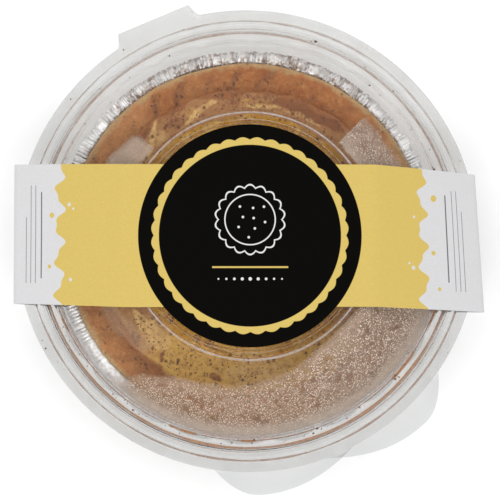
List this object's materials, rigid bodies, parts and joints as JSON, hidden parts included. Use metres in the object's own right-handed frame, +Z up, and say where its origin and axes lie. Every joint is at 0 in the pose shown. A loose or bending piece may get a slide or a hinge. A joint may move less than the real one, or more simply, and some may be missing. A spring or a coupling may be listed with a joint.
{
  "type": "packed custard pie",
  "caption": "Small round custard pie in a foil tin, shut in a clear fluted tray with a domed lid, hinge and pull tabs, held by a paper band with a round face.",
  "frame": {"origin": "on the flat underside of the paper band, at the axis of the round tray", "axes": "+Z up through the lid, +X along the paper band to its right end as the face is read, +Y to the side of the hinge"},
  "size_m": [0.1411, 0.147, 0.0433],
  "materials": {
    "clear_plastic": "clear, thin, glossy",
    "foil": "thin pleated foil, bright",
    "pastry": "baked crust, matte",
    "custard": "baked custard skin with nutmeg, satin",
    "printed_card": "printed paper, satin"
  },
  "bodies": {
    "root": {"tray": "clear_plastic", "lid": "clear_plastic", "foil_tin": "foil", "crust": "pastry", "custard": "custard", "paper_band": "printed_card"}
  },
  "joints": []
}
